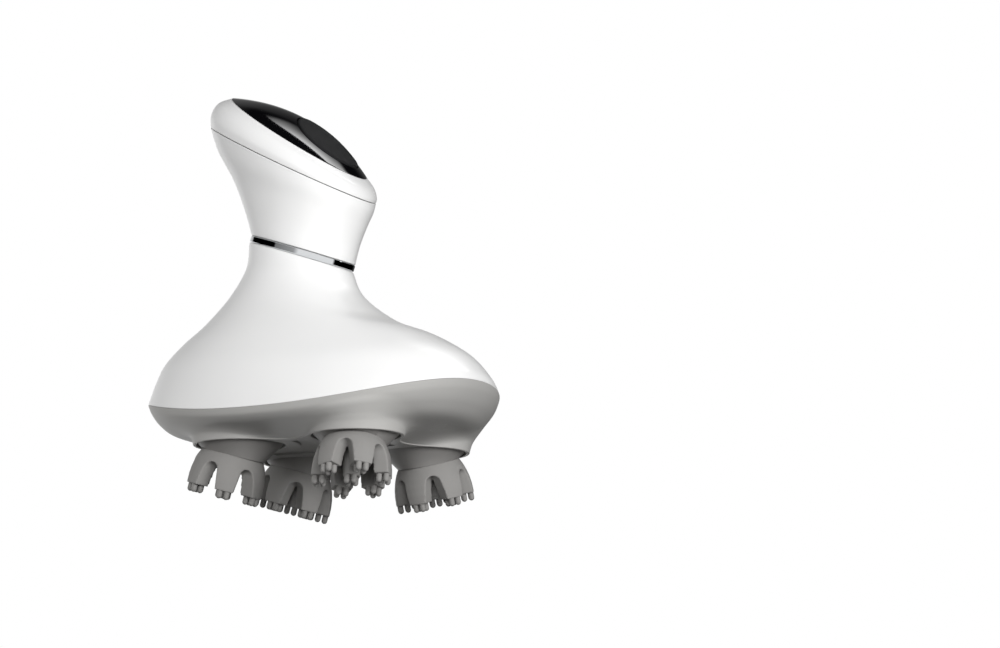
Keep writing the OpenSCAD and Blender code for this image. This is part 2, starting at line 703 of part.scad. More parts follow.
// Screws that hold the base to the body
module cover_screws() {
    color("#b9bcc0") for (p = cover_screw_spots) translate([p[0], p[1], rim_z + 4.5]) {
        cylinder(r = head_r, h = 1.6, $fn = 32);
        cylinder(r = screw_r, h = 11, $fn = 32);
    }
}

// Soft plugs over the screw heads
module screw_plugs() {
    color("#7c7a77") for (p = cover_screw_spots) translate([p[0], p[1], rim_z + 3.2])
        cylinder(r = head_r + 0.18, h = 1.2, $fn = 48);
}

// Steel shaft of head k
module head_shaft(k) {
    color("#b9bcc0") at_head(k) translate([0, 0, -1.2]) cylinder(r = shaft_r, h = gear_high + 1.8, $fn = 48);
}

// Gear of head k, in mesh with the lower wheel of the centre gear
module head_gear(k) {
    turn = head_turns[k] + 180 + head_turns[k] * sun_teeth / head_teeth + 180 / head_teeth;
    color("#e8e2cf") at_head(k) difference() {
        translate([0, 0, gear_low]) linear_extrude(gear_high - gear_low)
            rotate(turn) gear_outline(head_teeth, head_module);
        cylinder(r = shaft_r + push_fit, h = 20, $fn = 48);
    }
}

// Turning flange of head k with the leaning seat of its claw
module head_carrier(k) {
    color("#7d7b79") difference() {
        at_head(k) translate([0, 0, flange_low]) {
            cylinder(r = flange_r, h = flange_t, $fn = 96);
            translate([0, 0, -10]) cylinder(r1 = cone_r - 10, r2 = cone_r, h = 10, $fn = 96);
        }
        at_claw(k) translate([0, 0, -20]) cube([60, 60, 40], center = true);
        at_claw(k) translate([0, 0, -1]) cylinder(r = 7 + push_fit, h = 2.65, $fn = 64);
        at_head(k) translate([0, 0, -1.25]) cylinder(r = shaft_r + push_fit, h = 12, $fn = 48);
    }
}

// Outline of one leg, seen from outside: narrow at the end, running into its neighbours above.
// One flank starts a little higher, so the corners of two neighbours don't cross at one point.
module leg_outline() {
    half_pitch = claw_end_r * sin(30);
    arch_y = (claw_top_r + 0.62 * (claw_end_r - claw_top_r)) * sin(30);
    arch_z = arch_height - arch_r - leg_length;
    difference() {
        translate([-half_pitch, -leg_length]) square([2 * half_pitch, leg_length - 1]);
        for (s = [-1, 1]) {
            translate([s * arch_y, arch_z]) circle(r = arch_r, $fn = 40);
            polygon([[s * (arch_y - arch_r + 0.06), arch_z + 0.1 + 0.1 * s], [s * (half_pitch + 1), arch_z],
                [s * (half_pitch + 1), -leg_length - 1], [s * leg_width / 2, -leg_length - 1]]);
        }
    }
}

// Soft claw: a cup of six legs round a middle leg, each with four finger tips
module claw(k) {
    cup_r = claw_top_r;
    bulge = claw_end_r - cup_r;
    color("#6f6e6d") at_claw(k) rotate(leg_turns[k] - lean_turns[k]) {
        intersection() {
            rotate_extrude($fn = 96) polygon([[0, 0], [cup_r, 0], [cup_r + 0.34 * bulge, -2],
                [cup_r + 0.62 * bulge, -4.2], [cup_r + 0.84 * bulge, -6.8], [cup_r + 0.96 * bulge, -9.4],
                [claw_end_r, -leg_length], [claw_end_r - leg_depth, -leg_length],
                [claw_end_r - leg_depth - 0.3, -7], [cup_r - 3, -2.4], [0, -2.4]]);
            union() {
                translate([0, 0, -2.6]) cylinder(r = claw_end_r + 2, h = 4, $fn = 96);
                for (a = [0 : 60 : 300]) rotate(a) rotate([90, 0, 90])
                    linear_extrude(claw_end_r + 4) leg_outline();
            }
        }
        translate([0, 0, -0.5]) cylinder(r = 7, h = 2.05, $fn = 64);
        translate([0, 0, -leg_length]) cylinder(r1 = 2.9, r2 = 3.8, h = leg_length - 1, $fn = 48);
        for (x = [-1, 1]) for (y = [-1, 1]) {
            translate([x * tip_half_pitch, y * tip_half_pitch, 0]) finger_tip();
            for (a = [0 : 60 : 300]) rotate(a)
                translate([tip_mid_r + x * tip_half_pitch, y * tip_half_pitch, 0]) finger_tip();
        }
    }
}

// One round finger tip hanging from a leg end
module finger_tip() {
    translate([0, 0, -leg_length - tip_straight]) {
        cylinder(r = tip_r, h = tip_straight + 0.4, $fn = 32);
        sphere(r = tip_r, $fn = 32);
    }
}

base_housing();
body_cover();
neck_ring();
handle_cover();
cap_rim();
top_dome();
power_button();
button_clip();
button_pad();
control_board();
tact_switch();
board_parts();
board_screws();
battery_cell();
battery_cradle();
charging_socket();
charging_contacts();
gear_plate();
plate_screws();
gearbox_can();
motor_can();
motor_screws();
motor_pinion();
centre_gear();
centre_pin();
shaft_bushes();
shaft_seals();
cover_screws();
screw_plugs();
head_shaft(0);  // shaft_back_right
head_shaft(1);  // shaft_front_right
head_shaft(2);  // shaft_front_left
head_shaft(3);  // shaft_back_left
head_gear(0);  // gear_back_right
head_gear(1);  // gear_front_right
head_gear(2);  // gear_front_left
head_gear(3);  // gear_back_left
head_carrier(0);  // carrier_back_right
head_carrier(1);  // carrier_front_right
head_carrier(2);  // carrier_front_left
head_carrier(3);  // carrier_back_left
claw(0);  // claw_back_right
claw(1);  // claw_front_right
claw(2);  // claw_front_left
claw(3);  // claw_back_left
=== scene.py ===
"""A hand-held electric scalp massager on four claw heads, dressed for a plain studio picture."""
import json
import math

import bpy
import numpy as np
from mathutils import Matrix, Vector


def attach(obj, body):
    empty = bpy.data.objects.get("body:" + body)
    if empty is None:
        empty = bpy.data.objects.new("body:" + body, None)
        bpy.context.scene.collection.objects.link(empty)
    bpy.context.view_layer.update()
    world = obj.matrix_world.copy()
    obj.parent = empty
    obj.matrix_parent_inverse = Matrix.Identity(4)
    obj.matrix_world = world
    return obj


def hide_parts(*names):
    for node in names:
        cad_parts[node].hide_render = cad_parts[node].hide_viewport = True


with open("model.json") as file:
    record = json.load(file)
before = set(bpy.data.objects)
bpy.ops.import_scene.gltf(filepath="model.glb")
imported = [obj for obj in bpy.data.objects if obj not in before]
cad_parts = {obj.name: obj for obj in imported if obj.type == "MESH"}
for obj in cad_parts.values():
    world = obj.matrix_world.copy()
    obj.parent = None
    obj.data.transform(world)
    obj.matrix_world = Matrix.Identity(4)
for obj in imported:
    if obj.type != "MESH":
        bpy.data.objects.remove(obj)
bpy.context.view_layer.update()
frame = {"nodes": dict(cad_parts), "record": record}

MM = 0.001

# ---- sizes in millimetres: the part's own, but for the base's underside, the plugs and fine edges ----
RIM = 21.4433  # skirt rims over the table
HEADS_X = 3.6  # middle of the four heads
REACH = 32.5  # from that middle to a head's axis
SKIRT_R, POCKET_R, FLAT_R, RECESS_R, RECESS_H = 16.6, 15.4, 20.8, 24, 0.8
WALL, SEAM = 2.4, 0.3
LEAN = 16.5  # how far a claw leans, in degrees
# name, where the head stands, which way its claw leans, where one leg points
HEADS = (("back_right", 225, 178, 2), ("front_right", 315, -73, 17),
         ("front_left", 45, 77, 30.5), ("back_left", 135, 182, 30.5))
DOME_AT, DOME_L, DOME_W, DOME_H, DOME_TILT = (-10.4, 0, RIM + 112.1), 28.9, 23.8, 6.9, 34.5
BUTTON_R, BUTTON_GAP, BUTTON_SHIFT, BUTTON_LEAN = 13.3, 0.3, 11.5, 7
BUTTON_PROUD, BUTTON_CROWN, BUTTON_FOOT, WELL_DEPTH = 0.35, 0.35, 2.6, 3.4
LEG_L, LEG_W, LEG_D, END_R, TOP_R, CUP_WALL = 12.6, 6.2, 4.8, 13.8, 10.8, 2.4
ARCH_R, ARCH_TOP = 2.25, 9  # the round top of the gap between two legs, and its height over the leg ends
TIP_R, TIP_L, TIP_HALF = 1.0, 1.85, 1.25
FLANGE_R, CONE_R, CONE_H, CONE_TOP = 14.75, 14.4, 10, 0.4
# points round a cover's section, the base's section and a turned form
COVER_POINTS, BASE_POINTS, ROUND_POINTS = 192, 480, 144

SOCKET_AT, SOCKET_R, SOCKET_TURN = (-28.6, 0, RIM + 84.5), 6.3, -104
# the four base screws and the flush plugs under them
SCREW_SPOTS = ((-41, 0), (46, 0), (HEADS_X, 34.5), (HEADS_X, -34.5))
PLUG_R, PLUG_GAP, SCREW_HEAD_R, SCREW_R, SCREW_END = 2.9, 0.03, 2.7, 1.4, 15.5
# half the height of the neck ring, its tilt, and what the two make along X and Z
RING_HALF, RING_TILT = 1.3, 18.5
RING_X, RING_Z = RING_HALF * math.sin(math.radians(RING_TILT)), RING_HALF * math.cos(math.radians(RING_TILT))

# each section: height over the rims, middle along X, half length, half width, tilt, roundness and rise of
# its two ends, and for the base the radius of the lobes round the heads and the fillet between them
BASE = ((0.4, 2.1, 30.5, 28.5, 0, 2.2, 0.05, SKIRT_R, 8),
        (1.6, 1.8, 35.5, 31.4, 0, 2.2, 0.4, SKIRT_R + 0.3, 8),
        (3.2, 0.9, 44, 36.4, 0, 2.2, 1.1, SKIRT_R + 0.8, 7),
        (5.2, 0, 54.1, 41.5, 0, 2.18, 2, SKIRT_R + 1.7, 5),
        (7.8, -0.1, 59, 46.2, 0, 2.16, 3.5, SKIRT_R + 2.7, 4),
        (10.8, 0, 61.9, 48.9, 0, 2.15, 4.9, SKIRT_R + 3.4, 3),
        (13.6, 0, 63.2, 50, 0, 2.15, 5.4, SKIRT_R, 3))
TRAY = (6.4, 0.5, 46, 38, 0, 2.18, 0)  # the floor inside the base
BODY = ((13.9, 0, 63.2, 50, 0, 2.15, 5.4), (20.5, 0.4, 61.1, 47.8, 2, 2.12, 4.6),
        (28, -0.8, 57, 44.6, 1.8, 2.08, 3.2), (35, -1.1, 50.7, 39, 3, 2.04, 1.8),
        (42, -1.6, 41.8, 33, 5, 2, 0.7), (50, -4.3, 30.9, 26, 10, 2, 0.1),
        (60, -7.7, 21.5, 20.5, 15, 2, 0), (70.5 - RING_Z, -8.9 - RING_X, 18.9, 18.9, RING_TILT, 2, 0))
HANDLE = ((70.5 + RING_Z, -8.9 + RING_X, 18.9, 18.9, RING_TILT, 2, 0), (79.7, -8.9, 21.4, 20.4, 19.2, 2, 0),
          (88.6, -9.8, 25.6, 22.9, 21.8, 2, 0), (96.3, -11.8, 30.6, 25.9, 24.8, 2, 0),
          (102.5, -12.9, 33.6, 27.7, 28, 2, 0))
CAP = ((102.5 + SEAM, -12.9, 33.6, 27.7, 28, 2, 0), (105.9, -12.6, 34.3, 28.2, 30.3, 2, 0),
       (109.4, -11.7, 32.9, 26.9, 32.4, 2, 0), (111.9, -10.4, DOME_L + 0.2, DOME_W + 0.2, DOME_TILT, 2, 0))


def lobed(x, y, r, fillet):
    """Plan points pushed out to the four lobes that carry the heads, with the corners between them filled."""
    far, t = np.hypot(x - HEADS_X, y), np.arctan2(y, x - HEADS_X)
    away = [(REACH * math.cos(math.radians(h[1])), REACH * math.sin(math.radians(h[1]))) for h in HEADS]
    reach = far + 30
    for _ in range(80):
        a = (reach - far) * 0.9
        b = np.min([np.hypot(reach * np.cos(t) - u, reach * np.sin(t) - w) for u, w in away], axis=0) - r
        reach -= 0.8 * (np.minimum(a, b) - np.maximum(fillet - np.abs(a - b), 0) ** 2 / (4 * fillet))
    return HEADS_X + reach * np.cos(t), reach * np.sin(t)


def station(rows, x):
    """The section at a fractional place in a list of sections, on a smooth curve through them."""
    rows = [np.array(r, float) for r in rows]
    rows = [2 * rows[0] - rows[1]] + rows + [2 * rows[-1] - rows[-2]]
    k = min(int(x), len(rows) - 4)
    a, b, c, d = rows[k:k + 4]
    t = x - k
    bend, twist = 2 * a - 5 * b + 4 * c - d, 3 * b - a - 3 * c + d
    return 0.5 * (2 * b + (c - a) * t + bend * t ** 2 + twist * t ** 3)


def section(v, inset=0.0, n=COVER_POINTS):
    """The points of a section, in order, as an n by 3 array."""
    t = np.arange(n) * 2 * math.pi / n
    u = (v[2] - inset) * np.sign(np.cos(t)) * np.abs(np.cos(t)) ** (2 / v[5])
    w = (v[3] - inset) * np.sign(np.sin(t)) * np.abs(np.sin(t)) ** (2 / v[5])
    h, a = v[6] * np.cos(2 * t), math.radians(v[4])
    x, z = v[1] + u * math.cos(a) + h * math.sin(a), RIM + v[0] - u * math.sin(a) + h * math.cos(a)
    if len(v) > 7:
        x, w = lobed(x, w, v[7] - inset, v[8])
    return np.stack([x, w, z], 1)


def wall_rings(rows, steps, low, high):
    """Rings of a moulded wall: up the outside, over a rounded edge, down the inside, round the lower edge."""
    last = len(rows) - 1
    rise = [station(rows, x) for x in np.linspace(0, last, last * steps + 1)]
    end, start = low / abs(rows[1][0] - rows[0][0]), high / abs(rows[-1][0] - rows[-2][0])
    quarter = [math.radians(a) for a in (22, 45, 68, 90)]
    xs = np.linspace(end, last - start, last * steps + 1)
    out = [section(station(rows, x)) for x in xs]
    out += [section(station(rows, last - start * (1 - math.sin(a))), high * (1 - math.cos(a)))
            for a in quarter]
    out += [section(rise[-1], s) for s in (high + 0.25, WALL)]
    out += [section(v[:7], WALL) for v in rise[-2:0:-steps]]
    out += [section(rise[0][:7], WALL), section(rise[0], low + 0.25)]
    out += [section(station(rows, end * (1 - math.sin(a))), low * (1 - math.cos(a)))
            for a in quarter[::-1]]
    return out


# ---- modelling ------------------------------------------------------------------------------------
def alone(obj):
    """Selects one object and nothing else."""
    if bpy.context.object and bpy.context.object.mode != "OBJECT":
        bpy.ops.object.mode_set(mode="OBJECT")
    bpy.ops.object.select_all(action="DESELECT")
    obj.select_set(True)
    bpy.context.view_layer.objects.active = obj
    return obj


def extruded(name, rings, bridged=False):
    """A circle extruded ring by ring, each ring on its own section, with its ends filled or bridged."""
    n = len(rings[0])
    bpy.ops.object.select_all(action="DESELECT")
    bpy.ops.mesh.primitive_circle_add(vertices=n, radius=1, fill_type="NOTHING", location=(0, 0, 0))
    obj = alone(bpy.context.object)
    obj.name = obj.data.name = name
    bpy.ops.object.mode_set(mode="EDIT")
    bpy.ops.mesh.select_all(action="SELECT")
    for _ in rings[1:]:
        bpy.ops.mesh.extrude_region_move(TRANSFORM_OT_translate={"value": (0, 0, 1)})
    bpy.ops.object.mode_set(mode="OBJECT")
    co = np.array([v.co for v in obj.data.vertices])
    ring = np.rint(co[:, 2]).astype(int)
    spoke = np.rint(np.arctan2(co[:, 1], co[:, 0]) / (2 * math.pi) * n).astype(int) % n
    obj.data.vertices.foreach_set("co", (np.array(rings)[ring, spoke] * MM).ravel())
    bpy.ops.object.mode_set(mode="EDIT")
    bpy.ops.mesh.select_mode(type="EDGE")
    bpy.ops.mesh.select_all(action="DESELECT")
    bpy.ops.mesh.select_non_manifold(extend=False)
    if bridged:
        bpy.ops.mesh.bridge_edge_loops()
    else:
        bpy.ops.mesh.fill_holes(sides=0)
    bpy.ops.mesh.select_all(action="SELECT")
    bpy.ops.mesh.remove_doubles(threshold=0.00002)
    bpy.ops.mesh.normals_make_consistent(inside=False)
    bpy.ops.mesh.select_all(action="DESELECT")
    bpy.ops.mesh.select_mode(type="VERT")
    bpy.ops.object.mode_set(mode="OBJECT")
    return obj


def spun(name, profile, n=96):
    """A turned form: a circle extruded along a profile of radius and height."""
    t = np.arange(n) * 2 * math.pi / n
    return extruded(name, [np.stack([r * np.cos(t), r * np.sin(t), np.full(n, z)], 1) for r, z in profile])


def placed(obj, matrix):
    """Puts a form where it belongs, with its place in its mesh."""
    obj.data.transform(matrix)
    obj.data.update()
    return obj


def cut(obj, tools, how="DIFFERENCE"):
    """Takes the tools out of a form, or keeps what they share, and deletes them."""
    for tool in tools:
        alone(obj)
        m = obj.modifiers.new("cut", "BOOLEAN")
        m.operation, m.solver, m.object = how, "EXACT", tool
        bpy.ops.object.modifier_apply(modifier="cut")
        bpy.data.objects.remove(tool, do_unlink=True)
    return obj


def twin(obj, name=None):
    """A copy of a form with a mesh of its own."""
    copy = obj.copy()
    copy.data = obj.data.copy()
    if name:
        copy.name = copy.data.name = name
    bpy.context.scene.collection.objects.link(copy)
    return copy


def joined(name, parts):
    """Several forms as one object."""
    alone(parts[0])
    for p in parts[1:]:
        p.select_set(True)
    if len(parts) > 1:
        bpy.ops.object.join()
    obj = bpy.context.object
    obj.name = obj.data.name = name
    return obj


def smooth(obj, degrees=35):
    """Smooth faces, with the edges over an angle kept sharp."""
    alone(obj)
    bpy.ops.object.shade_smooth_by_angle(angle=math.radians(degrees))
    return obj


def shift(x=0.0, y=0.0, z=0.0):
    """A move in millimetres."""
    return Matrix.Translation(Vector((x, y, z)) * MM)


def turn(degrees, axis="Z"):
    """A turn about an axis through the origin."""
    return Matrix.Rotation(math.radians(degrees), 4, axis)


def head_place(k):
    """The axis of head k, at the level of the skirt rims."""
    a = math.radians(HEADS[k][1])
    return shift(HEADS_X + REACH * math.cos(a), REACH * math.sin(a), RIM)


# ---- materials ------------------------------------------------------------------------------------
def rgb(code):
    """An sRGB hex value as linear colour."""
    s = [int(code[i:i + 2], 16) / 255 for i in (1, 3, 5)]
    return tuple(v / 12.92 if v <= 0.04045 else ((v + 0.055) / 1.055) ** 2.4 for v in s) + (1.0,)


def add(tree, kind, inputs=None, **settings):
    """One node with its settings, and its inputs set or linked."""
    node = tree.nodes.new(kind)
    for k, v in settings.items():
        setattr(node, k, v)
    for k, v in (inputs or {}).items():
        if isinstance(v, bpy.types.NodeSocket):
            tree.links.new(v, node.inputs[k])
        else:
            node.inputs[k].default_value = v
    return node


def surface(name, low, high, drift_mm, rough, grain_mm, grain_depth, stretch=(1, 1, 1), **sockets):
    """A finish whose colour drifts between two tones and whose fine grain is a bump of a real depth."""
    mat = bpy.data.materials.new(name)
    mat.use_nodes = True
    tree = mat.node_tree
    tree.nodes.clear()
    where = add(tree, "ShaderNodeTexCoord").outputs["Object"]
    lie = add(tree, "ShaderNodeMapping", {"Vector": where, "Scale": stretch}).outputs["Vector"]
    drift = add(tree, "ShaderNodeTexNoise", {"Vector": where, "Scale": 1 / (drift_mm * MM), "Detail": 2.0})
    tone = add(tree, "ShaderNodeMix", {0: drift.outputs["Fac"], 6: rgb(low), 7: rgb(high)}, data_type="RGBA")
    wear = add(tree, "ShaderNodeMapRange", {"Value": drift.outputs["Fac"], "To Min": rough[0],
                                            "To Max": rough[1]})
    grain = add(tree, "ShaderNodeTexNoise", {"Vector": lie, "Scale": 1 / (grain_mm * MM), "Detail": 3.0,
                                             "Roughness": 0.6})
    bump = add(tree, "ShaderNodeBump", {"Height": grain.outputs["Fac"], "Distance": grain_depth * MM,
                                        "Strength": 1.0})
    skin = add(tree, "ShaderNodeBsdfPrincipled", {
        "Base Color": tone.outputs[2], "Roughness": wear.outputs["Result"], "Normal": bump.outputs["Normal"],
        **sockets})
    add(tree, "ShaderNodeOutputMaterial", {"Surface": skin.outputs["BSDF"]})
    return mat


# gloss ABS, moulded in a polished tool: a clean white with a soft mirror and the faintest orange peel
WHITE_ABS = surface("white_gloss_abs", "#f0f0f0", "#f6f6f5", 30, (0.26, 0.32), 1.6, 0.002, IOR=1.54)
# satin ABS from a finely etched tool: an even grey with broad soft highlights
GREY_ABS = surface("grey_satin_abs", "#b1b0ae", "#b8b7b4", 24, (0.42, 0.5), 0.45, 0.006, IOR=1.54)
# black acrylic, polished: a deep black that mirrors the room
BLACK_PMMA = surface("black_gloss_acrylic", "#08080a", "#0b0b0d", 30, (0.04, 0.07), 2.2, 0.0004, IOR=1.49)
# painted button: a soft-touch dark grey that holds back reflections
BUTTON_PAINT = surface("soft_touch_paint", "#1d1d1e", "#212122", 10, (0.6, 0.68), 0.35, 0.005, IOR=1.38)
# bright chrome plate on a turned ring: it shows the room in sharp bands
CHROME = surface("bright_chrome", "#d4d6d8", "#dcdee0", 12, (0.03, 0.06), 1.2, 0.0003, Metallic=1.0)
# liquid silicone, moulded against a blasted tool: a mid grey with a dull velvet sheen
SILICONE = surface("grey_silicone", "#8b8987", "#939290", 8, (0.48, 0.6), 0.5, 0.008, IOR=1.41)
# satin ABS of the turning flanges, a shade darker than the shell
FLANGE_ABS = surface("grey_satin_flange", "#8f8d8b", "#989694", 14, (0.42, 0.5), 0.4, 0.006, IOR=1.54)
# turned and ground steel
STEEL = surface("ground_steel", "#9a9c9f", "#a8aaad", 3, (0.28, 0.4), 0.4, 0.003, (1, 1, 8), Metallic=1.0)
# rolled aluminium sheet
ALUMINIUM = surface("rolled_aluminium", "#a9abae", "#b6b8bb", 6, (0.34, 0.46), 0.6, 0.004, (1, 12, 1),
                    Metallic=1.0)
# acetal, turned cream with a waxy look
ACETAL = surface("cream_acetal", "#e2dcc8", "#ece6d4", 5, (0.34, 0.42), 0.5, 0.004, IOR=1.48)
# sintered bronze, open-pored
BRONZE = surface("sintered_bronze", "#9a6d3c", "#b07f48", 1.2, (0.42, 0.55), 0.3, 0.012, Metallic=1.0)
# black rubber of the seals and the button stop
RUBBER = surface("black_rubber", "#1b1b1d", "#242426", 3, (0.55, 0.7), 0.3, 0.012, IOR=1.52)
# natural nylon of the inner frames
NYLON = surface("natural_nylon", "#b9bab9", "#c6c7c6", 9, (0.4, 0.5), 0.6, 0.006, IOR=1.53)
# black glass-filled nylon of the socket, switch and chips
BLACK_NYLON = surface("black_filled_nylon", "#161618", "#1e1e20", 2, (0.42, 0.55), 0.25, 0.008, IOR=1.53)
# green solder mask over woven glass laminate
LAMINATE = surface("green_laminate", "#14553a", "#1b6446", 1.0, (0.25, 0.36), 0.5, 0.006, IOR=1.55)
# blue shrink sleeve of the cell
SLEEVE = surface("blue_shrink_sleeve", "#2b63a6", "#3271b8", 7, (0.2, 0.3), 1.0, 0.01, IOR=1.5)
# hard gold flash on the charging contacts
GOLD = surface("gold_plate", "#d6ab58", "#e2bb6c", 1.0, (0.12, 0.2), 0.3, 0.001, Metallic=1.0)

FINISH = {"white_gloss": WHITE_ABS, "grey_satin": GREY_ABS, "black_gloss": BLACK_PMMA,
          "button_matte": BUTTON_PAINT, "chrome_trim": CHROME, "claw_rubber": SILICONE,
          "carrier_plastic": FLANGE_ABS, "seal_rubber": RUBBER, "gear_plastic": ACETAL,
          "bush_bronze": BRONZE, "steel": STEEL, "plate_aluminium": ALUMINIUM, "inner_plastic": NYLON,
          "black_plastic": BLACK_NYLON, "board_green": LAMINATE, "cell_blue": SLEEVE, "contact_gold": GOLD}


def dressed(obj, mat, body, slot, *nodes):
    """Gives a piece its finish and the body that it moves with, and hides the nodes that it stands for."""
    obj.data.materials.clear()
    obj.data.materials.append(mat)
    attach(obj, body)
    if nodes:
        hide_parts(*nodes)
    return obj


for part in frame["record"]["subparts"]:
    piece = frame["nodes"][part["node"]]
    for holder in piece.material_slots:
        holder.material = FINISH[part["material_slot"]]

# ---- the moulded covers ---------------------------------------------------------------------------
body = smooth(extruded("body_shell", wall_rings(BODY, 8, 0.25, 0.3), bridged=True))
dressed(body, WHITE_ABS, "housing", "white_gloss", "body_cover")

handle = extruded("handle_shell", wall_rings(HANDLE, 8, 0.3, 0.2), bridged=True)
bore = spun("socket_bore", [(SOCKET_R, -8), (SOCKET_R, 12)])
placed(bore, shift(*SOCKET_AT) @ turn(SOCKET_TURN, "Y"))
dressed(smooth(cut(handle, [bore])), WHITE_ABS, "housing", "white_gloss", "handle_cover")

cap = smooth(extruded("cap_shell", wall_rings(CAP, 8, 0.2, 0.35), bridged=True))
dressed(cap, WHITE_ABS, "housing", "white_gloss", "cap_rim")

# the bowl: a rounded foot, an outside that swells up to the white edge, and a plain tray inside
FOOT_EDGE, RIM_EDGE = 0.4, 0.3
rows = [station(BASE, x) for x in np.linspace(0, 6, 49)]
rings = []
for a in np.radians((90, 68, 45, 22)):
    v = rows[0].copy()
    v[0] -= FOOT_EDGE * math.sin(a)
    rings.append(section(v, FOOT_EDGE * (1 - math.cos(a)), BASE_POINTS))
rings += [section(v, 0, BASE_POINTS) for v in rows[:-1]]
top = rows[-1].copy()
top[0] += 0.22  # up to the white edge, so that the two covers meet
rings += [section(top, 0, BASE_POINTS), section(top[:7], WALL, BASE_POINTS)]
rings += [section(np.array(v[:7]), WALL, BASE_POINTS) for v in (BASE[5], BASE[4], TRAY)]
bowl = extruded("base_shell", rings)


def at_screws(name, profile, n=64):
    """A turned form at each of the four base screws."""
    return [placed(spun(name, profile, n), shift(x, y, RIM)) for x, y in SCREW_SPOTS]


plugs = cut(joined("plug_caps", at_screws("plug", [(PLUG_R, -3), (PLUG_R, 6.2)])), [twin(bowl)], "INTERSECT")
dressed(smooth(plugs, 40), GREY_ABS, "housing", "grey_satin", "screw_plugs")
# low pan heads, so that no screw comes through the thin end of the base
profile = [(0.6, 5.7), (2.2, 5.85), (2.6, 6), (SCREW_HEAD_R, 6.2), (SCREW_HEAD_R, 6.9), (SCREW_R, 6.9),
           (SCREW_R, SCREW_END)]
screws = joined("screw_heads", at_screws("screw", profile, 48))
dressed(smooth(screws, 40), STEEL, "housing", "steel", "cover_screws")

wells = at_screws("well", [(PLUG_R + PLUG_GAP, -3), (PLUG_R + PLUG_GAP, 6.1)])
quarter = np.radians((0, 22, 45, 68, 90))
curve = [(RIM_EDGE * (1 - math.sin(a)), RIM_EDGE * (1 - math.cos(a))) for a in quarter]
profile = [(RECESS_R + RIM_EDGE, -1)] + [(RECESS_R + u, w) for u, w in curve] + [(RECESS_R, RECESS_H)]
recess = placed(spun("recess", profile, ROUND_POINTS), shift(HEADS_X, 0, RIM))
profile = [(FLAT_R - RIM_EDGE, -2)] + [(FLAT_R - u, w) for u, w in curve] + [(FLAT_R, 3)]
flats = [placed(spun("flat", profile, ROUND_POINTS), head_place(k)) for k in range(4)]
# each pocket widens inside its lip, so that the gap round a flange reads dark
profile = [(POCKET_R + RIM_EDGE, -1)] + [(POCKET_R + u, w) for u, w in curve]
profile += [(POCKET_R, 0.7), (POCKET_R + 0.6, 0.8), (POCKET_R + 0.6, 3)]
pockets = [placed(spun("pocket", profile, ROUND_POINTS), head_place(k)) for k in range(4)]
base = smooth(cut(bowl, [cut(recess, flats)] + pockets + wells), 32)
weigh = base.modifiers.new("weigh", "WEIGHTED_NORMAL")
weigh.keep_sharp = True
bpy.ops.object.modifier_apply(modifier="weigh")
dressed(base, GREY_ABS, "housing", "grey_satin", "base_housing")

# ---- the dome and its button ----------------------------------------------------------------------
dome_place = shift(*DOME_AT) @ turn(DOME_TILT, "Y")
BUTTON_RISE = DOME_H * (1 - (BUTTON_SHIFT / DOME_L) ** 2)
button_place = dome_place @ shift(BUTTON_SHIFT, 0, BUTTON_RISE) @ turn(BUTTON_LEAN, "Y")


def on_dome(u, w):
    """Height of the dome over the plane of its rim."""
    return DOME_H * (1 - (u / DOME_L) ** 2 - (w / DOME_W) ** 2)


def round_button(r, lift, n=ROUND_POINTS):
    """A circle about the button axis, laid on the dome and lifted from it, in the dome's own frame."""
    local = dome_place.inverted() @ button_place
    t = np.arange(n) * 2 * math.pi / n
    p = np.stack([r * np.cos(t), r * np.sin(t), np.zeros(n)], 1) * MM
    turned = np.array([local @ Vector(q) for q in p]) / MM
    axis = np.array(local.to_3x3() @ Vector((0, 0, 1)))
    for _ in range(30):
        turned += ((on_dome(turned[:, 0], turned[:, 1]) - turned[:, 2]) / axis[2])[:, None] * axis
    return turned + lift * axis


def dome_rings():
    """From the floor of the button well, up its wall, over a rounded edge and out to the rim."""
    t = np.arange(ROUND_POINTS) * 2 * math.pi / ROUND_POINTS
    well = BUTTON_R + BUTTON_GAP
    rings = [round_button(2, -WELL_DEPTH), round_button(well, -WELL_DEPTH)]
    rings += [round_button(well + 0.3 * (1 - math.cos(a)), -0.3 * (1 - math.sin(a)))
              for a in np.radians((0, 22, 45, 68, 90))]
    inner = round_button(well + 0.45, 0)
    edge = np.stack([DOME_L * np.cos(t), DOME_W * np.sin(t)], 1)
    for s in np.linspace(0, 1, 26):
        p = inner[:, :2] * (1 - s) + edge * s
        rings.append(np.column_stack([p, on_dome(p[:, 0], p[:, 1])]))
    last = rings[-1]
    rings[-1] = last * np.array([1, 1, 0]) - np.array([0, 0, 0.01])
    rings += [last * np.array([0.998, 0.998, 0]) + np.array([0, 0, -0.15]),
              last * np.array([0.93, 0.93, 0]) + np.array([0, 0, -0.15])]
    return rings


dome = placed(extruded("dome_cover", dome_rings()), dome_place)
dressed(smooth(dome, 40), BLACK_PMMA, "housing", "black_gloss", "top_dome")

rings = [round_button(BUTTON_R, z) for z in (-BUTTON_FOOT, -0.2)]
rings += [round_button(BUTTON_R - 0.5 * (1 - math.cos(a)), (BUTTON_PROUD + 0.1) * math.sin(a) - 0.1)
          for a in np.radians((20, 45, 68, 90))]
rings += [round_button(r, BUTTON_PROUD + BUTTON_CROWN * (1 - (r / BUTTON_R) ** 2))
          for r in (12.6, 12, 11, 9.5, 7.5, 5, 2.5, 0.6)]
button = placed(extruded("button_cap", rings), dome_place)
dressed(smooth(button, 40), BUTTON_PAINT, "button", "button_matte", "power_button")

# ---- the claws --------------------------------------------------------------------------------------
slope = math.tan(math.radians(LEAN))
CLAW_SHIFT = CONE_H * (1 / (1 - slope) - 1 / (1 + slope)) / 2
CLAW_DROP = CONE_R - CONE_H - CLAW_SHIFT * slope


